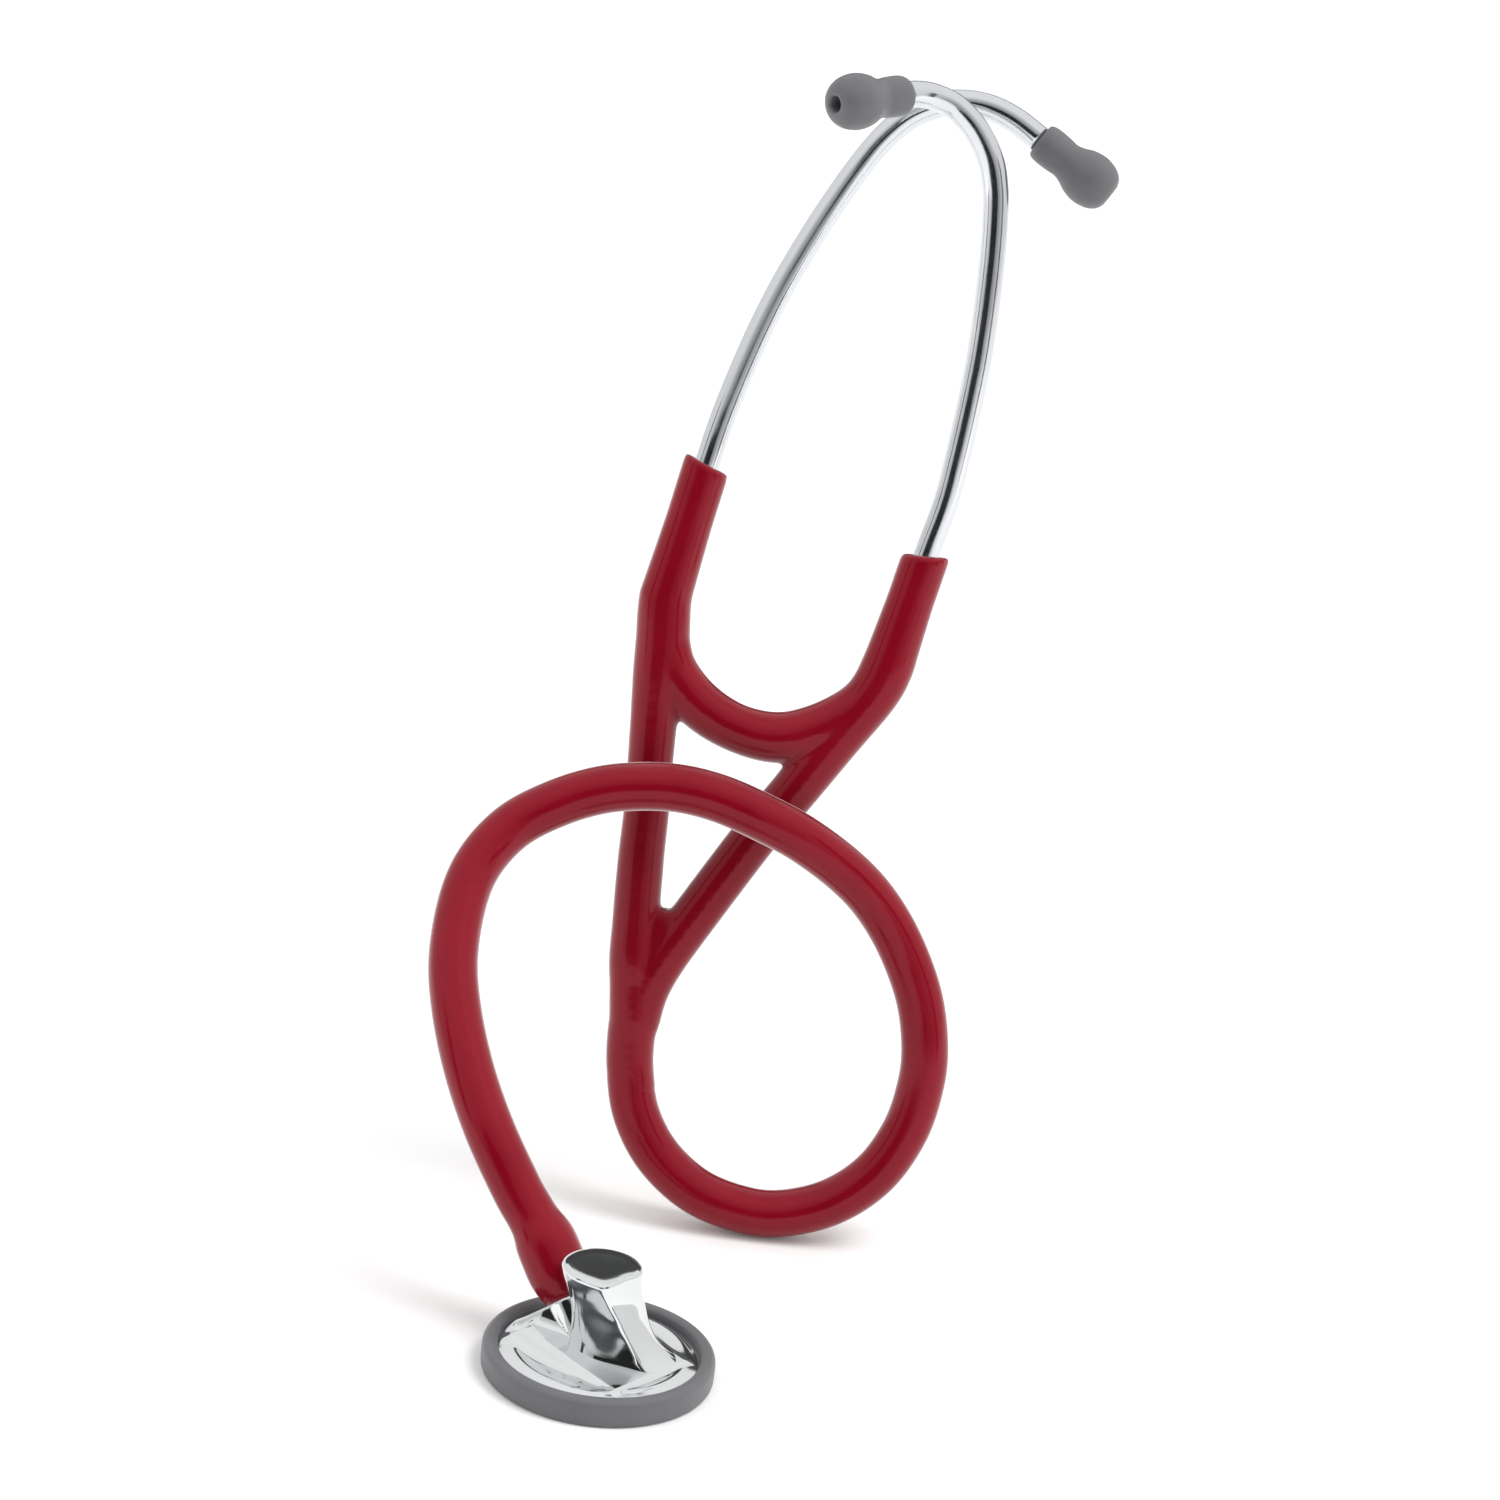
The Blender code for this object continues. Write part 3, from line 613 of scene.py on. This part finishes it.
class StethoscopeSizes(bpy.types.PropertyGroup):
    """Sizes and colours that a user may change before building."""

    hose_radius: bpy.props.FloatProperty(
        name="Hose radius",
        description="Outside radius of the hose, in mm",
        default=5.6,
        min=3.0,
    )
    hose_swell: bpy.props.FloatProperty(
        name="Hose swell",
        description="Growth over the barbed stem, in mm",
        default=1.2,
        min=0.0,
    )
    tube_radius: bpy.props.FloatProperty(
        name="Ear tube radius",
        description="Outside radius of the ear tubes, in mm",
        default=3.0,
        min=1.0,
    )
    sleeve_radius: bpy.props.FloatProperty(
        name="Sleeve radius",
        description="Radius at the sleeves' open ends, in mm",
        default=5.25,
        min=3.5,
    )
    grip_height: bpy.props.FloatProperty(
        name="Grip height",
        description="Top of the grip above the floor, in mm",
        default=GRIP_TOP,
        min=15.0,
    )
    pvc_colour: bpy.props.FloatVectorProperty(
        name="Hose colour", description="Colour of hose and yoke", subtype="COLOR",
        default=(0.2, 0.0012, 0.0095), min=0.0, max=1.0,
    )
    steel_colour: bpy.props.FloatVectorProperty(
        name="Steel colour", description="Tint of the polished chestpiece", subtype="COLOR",
        default=(0.76, 0.775, 0.78), min=0.0, max=1.0,
    )
    tube_colour: bpy.props.FloatVectorProperty(
        name="Ear tube colour", description="Tint of the ear tubes", subtype="COLOR",
        default=(0.70, 0.715, 0.74), min=0.0, max=1.0,
    )
    rubber_colour: bpy.props.FloatVectorProperty(
        name="Rubber colour", description="Colour of rim and ear tips", subtype="COLOR",
        default=(0.128, 0.128, 0.136), min=0.0, max=1.0,
    )
    floor_colour: bpy.props.FloatVectorProperty(
        name="Floor colour", description="Colour of the plain floor", subtype="COLOR",
        default=(0.82, 0.82, 0.82), min=0.0, max=1.0,
    )


def area_light(name, spot, target, size, power):
    """A soft light turned towards its target and hidden from mirrors."""
    data = bpy.data.lights.new(name, "AREA")
    data.shape = "RECTANGLE"
    data.size, data.size_y = size
    data.energy = power
    made = bpy.data.objects.new(name, data)
    bpy.context.scene.collection.objects.link(made)
    back = unit(np.array(spot, float) - np.array(target, float))
    made.matrix_world = look_matrix(spot, back)
    made.visible_glossy = False


def look_matrix(spot, back, roll=0.0):
    """Axes of something at a spot that looks away from back, turned about its line of sight."""
    level = unit(np.cross([0.0, 0.0, 1.0], back))
    up = np.cross(back, level)
    right = np.cos(roll) * level + np.sin(roll) * up
    top = -np.sin(roll) * level + np.cos(roll) * up
    turned = np.eye(4)
    turned[:3, 0], turned[:3, 1], turned[:3, 2], turned[:3, 3] = right, top, back, spot
    return Matrix(turned.tolist())


def card(name, spot, target, size, shade):
    """A flat dark card that only mirrors see; it stands well outside the camera's view."""
    signs = np.array([(-1, -1), (1, -1), (1, 1), (-1, 1)])
    corners = np.column_stack([signs * np.array(size) / 2, np.zeros(4), np.ones(4)])
    turned = np.array(look_matrix(spot, unit(np.array(target, float) - np.array(spot, float))))
    data = bpy.data.meshes.new(name)
    data.from_pydata((corners @ turned.T)[:, :3].tolist(), [], [(0, 1, 2, 3)])
    dark = Finish(name + "_card", (shade, shade, shade), 1.0, Specular_IOR_Level=0.0)
    data.materials.append(dark.made)
    made = bpy.data.objects.new(name, data)
    bpy.context.scene.collection.objects.link(made)
    made.visible_camera = False
    made.visible_diffuse = False
    made.visible_shadow = False


class STETHOSCOPE_OT_stage(bpy.types.Operator):
    """Sets the camera, the pale floor and the soft studio light"""

    bl_idname = "stethoscope.stage"
    bl_label = "Stage"

    def execute(self, context):
        scene = context.scene
        scene.view_settings.view_transform = "Standard"
        data = bpy.data.cameras.new("studio_camera")
        data.sensor_width = CAMERA_SENSOR
        data.lens = CAMERA_LENS
        camera = bpy.data.objects.new("studio_camera", data)
        scene.collection.objects.link(camera)
        back = np.array([0.0, -np.cos(CAMERA_PITCH), np.sin(CAMERA_PITCH)])
        camera.matrix_world = look_matrix(CAMERA_SPOT * MM, back, CAMERA_ROLL)
        scene.camera = camera

        half = FLOOR_HALF
        corners = [(-half, -half, 0), (half, -half, 0), (half, half, 0), (-half, half, 0)]
        floor = bpy.data.meshes.new("floor")
        floor.from_pydata(corners, [], [(0, 1, 2, 3)])
        pale = tuple(sizes_of(context).floor_colour)
        paper = Finish("floor_paper", pale, 0.95, Specular_IOR_Level=0.1)
        paper.set("Emission Color", (1.0, 1.0, 1.0, 1.0))
        paper.set("Emission Strength", FLOOR_GLOW)
        floor.materials.append(paper.made)
        ground = bpy.data.objects.new("floor", floor)
        scene.collection.objects.link(ground)

        world = bpy.data.worlds.new("studio")
        scene.world = world
        world.use_nodes = True
        tree = world.node_tree
        direction = add_node(tree, "ShaderNodeTexCoord", {})
        height = add_node(tree, "ShaderNodeSeparateXYZ", {}, direction, output=2)
        depth = add_node(tree, "ShaderNodeSeparateXYZ", {}, direction, output=1)
        overhead = add_node(tree, "ShaderNodeMapRange", {}, height, -0.05, 0.9, 0.84, 1.02)
        behind = add_node(tree, "ShaderNodeMapRange", {}, depth, -0.95, -0.45, 0.35, 1.0)
        glow = overhead * behind
        background = tree.nodes["Background"]
        tree.links.new(glow.socket, background.inputs["Strength"])
        background.inputs["Color"].default_value = (1.0, 1.0, 1.0, 1.0)
        sun = bpy.data.lights.new("key_light", "SUN")
        sun.energy = SUN_STRENGTH
        sun.angle = SUN_ANGLE
        key = bpy.data.objects.new("key_light", sun)
        scene.collection.objects.link(key)
        key.matrix_world = look_matrix((0.6, -0.15, 1.25), unit(SUN_SIDE))
        key.visible_glossy = False
        area_light("right_light", (1.3, -0.3, 0.6), STUDIO_TARGET, *SIDE_LIGHT)
        area_light("left_light", (-1.3, -0.3, 0.6), STUDIO_TARGET, *SIDE_LIGHT)
        for row in CARDS:
            card(*row)
        return {"FINISHED"}


class STETHOSCOPE_OT_hose(bpy.types.Operator):
    """Carries the hose's ring along its route, swollen over the stem's barbs"""

    bl_idname = "stethoscope.hose"
    bl_label = "Hose"

    def execute(self, context):
        sizes = sizes_of(context)
        path = smooth_path(HOSE_ROUTE, 1.0)
        run = run_along(path)
        swell = sizes.hose_swell * np.exp(-(((run - 9.5) / 7.0) ** 4))
        lip = -0.35 * np.exp(-run / 0.6)
        tuck = -0.5 * np.exp(-(run[-1] - run) / 4.0)
        radius = sizes.hose_radius + swell + lip + tuck
        material = bpy.data.materials["burgundy_pvc_skin"]
        hose = skin("hose_skin", tube_grid(path, radius, 48), material)
        hose.visible_glossy = False
        place(hose, "stand", "burgundy_pvc", "hose")
        return {"FINISHED"}


def limb_grid(points):
    """A round limb along a line of the headset's plane, with its own radius at each point."""
    line = smooth_path([(a, 0.0, up, r) for a, up, r in points], 1.5)
    return tube_grid(headset(line[:, :3]), line[:, 3] + MOULD_GROWTH, LIMB_SIDES)


def sleeve_grid(pivot, tip, radius, slant):
    """A tapering sleeve whose mouth is cut at a slant: its rings lean more towards the end."""
    base, along, reach = arm_line(pivot, tip)
    share = np.linspace(0, 1, 40)
    line = base + along * (share * reach)[:, None]
    width = SLEEVE_ROOT + (radius - SLEEVE_ROOT) * np.clip(share * 1.7, 0, 1) ** 0.8
    flat = tube_grid(headset(line), width + MOULD_GROWTH, LIMB_SIDES)
    world_along = unit(headset([base + along])[0] - headset([base])[0])
    sideways = np.cross(world_along, PLANE_FRONT)
    centre = flat.mean(axis=1, keepdims=True)
    off = (flat - centre) @ sideways
    lean = slant * np.clip((share - 0.6) / 0.4, 0, 1)[:, None]
    return flat + (off * lean)[..., None] * world_along


def moulded(name, grids):
    """One rounded body from overlapping limbs: remeshed together, then relaxed."""
    raw = skin(name, grids, None)
    remesh = raw.modifiers.new("weld", "REMESH")
    remesh.mode = "VOXEL"
    remesh.voxel_size = MOULD_VOXEL * MM
    relax = raw.modifiers.new("relax", "SMOOTH")
    relax.factor = 0.5
    relax.iterations = MOULD_ROUNDS
    bpy.context.view_layer.update()
    graph = bpy.context.evaluated_depsgraph_get()
    data = bpy.data.meshes.new_from_object(raw.evaluated_get(graph))
    bpy.data.objects.remove(raw)
    return data


def read_mesh(data):
    """A quad mesh's points, point normals and corners as arrays."""
    points = np.empty(len(data.vertices) * 3, np.float32)
    data.vertices.foreach_get("co", points)
    normals = np.empty(len(data.vertices) * 3, np.float32)
    data.vertex_normals.foreach_get("vector", normals)
    corners = np.empty(len(data.loops), np.int32)
    data.loops.foreach_get("vertex_index", corners)
    return points.reshape(-1, 3), normals.reshape(-1, 3), corners.reshape(-1, 4)


def cut_out(name, points, normals, faces, material):
    """A piece from some of the faces, shaded with the whole body's normals so no seam shows."""
    used, faces = np.unique(faces, return_inverse=True)
    data = bpy.data.meshes.new(name)
    data.from_pydata(points[used].tolist(), [], faces.reshape(-1, 4).tolist())
    data.shade_smooth()
    data.normals_split_custom_set_from_vertices(normals[used].tolist())
    data.materials.append(material)
    made = bpy.data.objects.new(name, data)
    bpy.context.scene.collection.objects.link(made)
    made.visible_glossy = False
    return made


class STETHOSCOPE_OT_yoke(bpy.types.Operator):
    """Moulds the yoke and both arm sleeves as one body, then parts them at the arms' pivots"""

    bl_idname = "stethoscope.yoke"
    bl_label = "Yoke and arms"

    def execute(self, context):
        sizes = sizes_of(context)
        leg_end = headset([(a, 0.0, up) for a, up, _ in LEFT_LEG[:-4:-1]])
        path = smooth_path([*HOSE_ROUTE[-3:], *leg_end], 1.0)[4:]
        radii = np.interp(np.linspace(0, 1, len(path)), *ROOT_RADII)
        root = tube_grid(path, radii + MOULD_GROWTH, LIMB_SIDES)
        grids = [limb_grid(points) for points in (LEFT_LEG, RIGHT_LEG, WEB, GUSSET)]
        arms = (
            ("left", LEFT_PIVOT, LEFT_ARM_TIP, -0.2),
            ("right", RIGHT_PIVOT, RIGHT_ARM_TIP, 0.22),
        )
        for _, pivot, tip, slant in arms:
            grids.append(sleeve_grid(pivot, tip, sizes.sleeve_radius, slant))
        points, normals, faces = read_mesh(moulded("yoke_raw", [root, *grids]))
        material = bpy.data.materials["burgundy_pvc_skin"]
        middle = points[faces].mean(axis=1)
        rest = np.ones(len(faces), bool)
        for side, pivot, tip, _ in arms:
            base, along, _ = arm_line(pivot, tip)
            cut = base - along * CUT_BEFORE_PIVOT
            low, high, start = headset([base, base + along, cut]) * MM
            direction = unit(high - low)
            near = np.linalg.norm(middle - low, axis=1) < 0.045
            mine = near & ((middle - start) @ direction > 0) & (middle[:, 2] > start[2] - 0.01)
            rest &= ~mine
            arm = cut_out(side + "_arm_skin", points, normals, faces[mine], material)
            finish_piece(arm, "burgundy_pvc", side + "_arm_sleeve")
            tuple(start + direction * BEND_START)
            tuple(low + direction * BEND_END)
            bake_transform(arm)
        yoke = cut_out("yoke_skin", points, normals, faces[rest], material)
        place(yoke, "stand", "burgundy_pvc", "yoke")
        return {"FINISHED"}


def ear_tube_path(side):
    """Straight inside the sleeve along the arm's axis, then along the tube's own bends."""
    pivot, tip, route = {
        "left": (LEFT_PIVOT, LEFT_ARM_TIP, LEFT_TUBE),
        "right": (RIGHT_PIVOT, RIGHT_ARM_TIP, RIGHT_TUBE),
    }[side]
    base, along, reach = arm_line(pivot, tip)
    inside = [tuple(base + along * t) for t in (6.0, reach / 2, reach + 1.0)]
    inside = [(x, 0.0, z) for x, _, z in inside]
    return headset(smooth_path([*inside, *route], 1.0))


class STETHOSCOPE_OT_ear_tubes(bpy.types.Operator):
    """Carries a ring along each bent ear tube"""

    bl_idname = "stethoscope.ear_tubes"
    bl_label = "Ear tubes"

    def execute(self, context):
        for side in ("left", "right"):
            grid = tube_grid(ear_tube_path(side), sizes_of(context).tube_radius, 40)
            tube = skin(side + "_ear_tube_skin", grid, bpy.data.materials["drawn_tube_skin"])
            place(tube, side + "_arm", "satin_aluminium", side + "_ear_tube")
        return {"FINISHED"}


class STETHOSCOPE_OT_ear_tips(bpy.types.Operator):
    """Turns a soft mushroom tip about the end of each ear tube"""

    bl_idname = "stethoscope.ear_tips"
    bl_label = "Ear tips"

    def execute(self, context):
        profile = smooth_path([(r, h, 0.0) for r, h in TIP_PROFILE], 0.35)[:, :2]
        for side in ("left", "right"):
            path = ear_tube_path(side)
            heading = unit(path[-1] - path[-3])
            grid = turned_grid(profile, 64, path[-1] + heading * 0.3, heading)
            tip = skin(side + "_ear_tip_skin", grid, bpy.data.materials["grey_rubber_skin"])
            place(tip, side + "_tip", "grey_rubber", side + "_ear_tip")
        return {"FINISHED"}


def grip_grid(top):
    """Rings of an oval with a sharp front edge, hollowed to its right and flared at its foot."""
    levels = smooth_path([(level[0], 0.0, 0.0, *level) for level in GRIP_LEVELS], 0.35)[:, 3:]
    last = levels[-1]
    rows = np.vstack([levels, *[[last] for _ in GRIP_LIP]])
    rows[len(levels):, 0] = [z * top / GRIP_TOP for z, _ in GRIP_LIP]
    shrink = np.ones(len(rows))
    shrink[len(levels):] = [s for _, s in GRIP_LIP]
    z, cx, cy, half_x, half_y, edge, reach, flare, hollow = rows.T[:, :, None]
    edge = np.radians(edge)
    angle = edge + np.linspace(0, 2 * np.pi, 160, endpoint=False)[None]
    off = (angle - edge + np.pi) % (2 * np.pi) - np.pi
    oval = 1 / np.hypot(np.cos(angle) / half_x, np.sin(angle) / half_y)
    at_edge = 1 / np.hypot(np.cos(edge) / half_x, np.sin(edge) / half_y)
    ridge = np.exp((RIDGE_ROUND - np.hypot(off, RIDGE_ROUND)) / RIDGE_WIDTH)
    radius = oval + (reach - at_edge) * ridge
    radius = radius - hollow * np.exp(-(((off - 0.75) / 0.42) ** 2))
    radius = radius + flare * np.exp(-(((off - 0.66) / 0.6) ** 2))
    radius = radius * shrink[:, None]
    x, y = cx + radius * np.cos(angle), cy + radius * np.sin(angle)
    return CHEST_CENTRE + np.stack([x, y, z + 0 * angle], axis=-1)


def soft_max(a, b, blend):
    """The larger of two heights, rounded where they cross."""
    share = np.clip(0.5 + 0.5 * (a - b) / blend, 0, 1)
    return a * share + b * (1 - share) + blend * share * (1 - share)


def relief(along, across):
    """Height over the disc: the dish, a chamfered ramp up to the stem, and the stem's boss.

    The ramp is a sloping plane that falls away with the distance outside its rectangle. The boss
    is a slanted cylinder's upper side, cut by the plane of the hose's end. Near the rim all of it
    settles into the dish."""
    profile = smooth_path([(r, h, 0.0) for r, h in DISC_PROFILE], 0.3)
    dish = np.interp(np.hypot(along, across), profile[:, 0], profile[:, 1])
    crest = RAMP_LOW_END[1] + (RAMP_LOW_END[0] - along) * RAMP_CLIMB
    outside = (
        RAMP_ACROSS[0] - across,
        across - RAMP_ACROSS[1],
        along - RAMP_ALONG[1],
        RAMP_ALONG[0] - along,
    )
    ramp = crest - np.interp(np.maximum.reduce(outside), *RAMP_FALL)
    out, sideways = along - STEM_FACE[0], across - STEM_FACE[1]
    past = np.clip(np.abs(sideways) - BOSS_RADIUS, 0, None)
    bore = np.sqrt(np.clip(BOSS_RADIUS**2 - sideways**2, 0, None)) - BOSS_SKIRT * past
    cylinder = STEM_FACE[2] + (bore - out * np.sin(STEM_TILT)) / np.cos(STEM_TILT)
    face = STEM_FACE[2] + out / np.tan(STEM_TILT) + 0.25
    boss = -soft_max(-cylinder, -face, 0.5)
    risen = soft_max(soft_max(dish, ramp, 1.1), boss, 3.6)
    inside = np.clip((22.2 - np.hypot(along, across)) / 3.2, 0, 1)
    return dish + (risen - dish) * inside**2 * (3 - 2 * inside)


def relief_grid():
    """Rings about the disc's centre, lifted to the relief and closed underneath."""
    ring = np.concatenate([[0.02], np.linspace(0.2, DISC_RADIUS, 130)])[:, None]
    angle = np.linspace(0, 2 * np.pi, 600, endpoint=False)[None]
    along, across = ring * np.cos(angle), ring * np.sin(angle)
    top = np.stack([along, across, relief(along, across)], axis=-1)
    edge = top[-1] * (1, 1, 0)
    closing = ((1.0, 3.4), (0.45, 3.2), (0.001, 3.2))
    grid = np.concatenate([top, [edge * share + (0, 0, level) for share, level in closing]])
    cos, sin = np.cos(CHEST_TURN), np.sin(CHEST_TURN)
    x = cos * grid[..., 0] - sin * grid[..., 1]
    y = sin * grid[..., 0] + cos * grid[..., 1]
    return CHEST_CENTRE + np.stack([x, y, grid[..., 2]], axis=-1)


class STETHOSCOPE_OT_chestpiece(bpy.types.Operator):
    """Makes the polished disc, its ramp, its waisted grip and the boss under the hose"""

    bl_idname = "stethoscope.chestpiece"
    bl_label = "Chestpiece"

    def execute(self, context):
        steel = bpy.data.materials["mirror_steel_skin"]
        disc = skin("disc_skin", relief_grid(), steel)
        place(disc, "stand", "polished_steel", "chestpiece_body")
        grip = skin("grip_skin", grip_grid(sizes_of(context).grip_height), steel)
        place(grip, "stand", "polished_steel")
        return {"FINISHED"}


class STETHOSCOPE_OT_rim(bpy.types.Operator):
    """Turns the soft rim that grips the disc's edge"""

    bl_idname = "stethoscope.rim"
    bl_label = "Rim"

    def execute(self, context):
        closed = [*RIM_PROFILE, RIM_PROFILE[0]]
        profile = smooth_path([(r, h, 0.0) for r, h in closed], 0.3)[:, :2]
        grid = turned_grid(profile, 160, CHEST_CENTRE, (0, 0, 1))
        rubber = bpy.data.materials["grey_rubber_skin"]
        rim = skin("rim_skin", grid, rubber, low_cap=False, high_cap=False)
        place(rim, "stand", "grey_rubber", "chestpiece_rim")
        return {"FINISHED"}


class STETHOSCOPE_OT_finishes(bpy.types.Operator):
    """Makes the finishes and puts them on the parts that keep their own shape"""

    bl_idname = "stethoscope.finishes"
    bl_label = "Finishes"

    def execute(self, context):
        sizes = sizes_of(context)
        pvc(sizes)
        drawn_tube(sizes)
        steel = mirror_steel(sizes)
        rubber = grey_rubber(sizes)
        spring = plain_part("spring_steel_part", (0.5, 0.51, 0.53), 0.3, 1.0)
        resin = plain_part("diaphragm_part", (0.62, 0.63, 0.62), 0.2, 0.0)
        nylon = plain_part("nylon_part", (0.06, 0.06, 0.065), 0.4, 0.0)
        for node, material in {
            "chestpiece_stem": steel,
            "diaphragm_surround": rubber,
            "diaphragm": resin,
            "tension_spring": spring,
            "left_tube_collar": spring,
            "right_tube_collar": spring,
            "left_tip_nipple": nylon,
            "right_tip_nipple": nylon,
        }.items():
            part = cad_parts[node]
            part.data.materials.clear()
            part.data.materials.append(material)
            part.visible_glossy = node != "chestpiece_stem"
        return {"FINISHED"}


class STETHOSCOPE_PT_panel(bpy.types.Panel):
    """Lists the sizes, the colours and the building steps"""

    bl_label = "Stethoscope"
    bl_space_type = "VIEW_3D"
    bl_region_type = "UI"
    bl_category = "Stethoscope"

    def draw(self, context):
        sizes = sizes_of(context)
        for key in StethoscopeSizes.__annotations__:
            self.layout.prop(sizes, key)
        for step in STEPS:
            self.layout.operator(step.bl_idname)


STEPS = (
    STETHOSCOPE_OT_finishes,
    STETHOSCOPE_OT_stage,
    STETHOSCOPE_OT_hose,
    STETHOSCOPE_OT_yoke,
    STETHOSCOPE_OT_ear_tubes,
    STETHOSCOPE_OT_ear_tips,
    STETHOSCOPE_OT_chestpiece,
    STETHOSCOPE_OT_rim,
)


def register():
    for item in (StethoscopeSizes, *STEPS, STETHOSCOPE_PT_panel):
        bpy.utils.register_class(item)
    bpy.types.Scene.stethoscope_sizes = bpy.props.PointerProperty(type=StethoscopeSizes)


def unregister():
    del bpy.types.Scene.stethoscope_sizes
    for item in (STETHOSCOPE_PT_panel, *reversed(STEPS), StethoscopeSizes):
        bpy.utils.unregister_class(item)


def main():
    register()
    for step in STEPS:
        group, name = step.bl_idname.split(".")
        getattr(getattr(bpy.ops, group), name)()


if __name__ == "__main__":
    main()
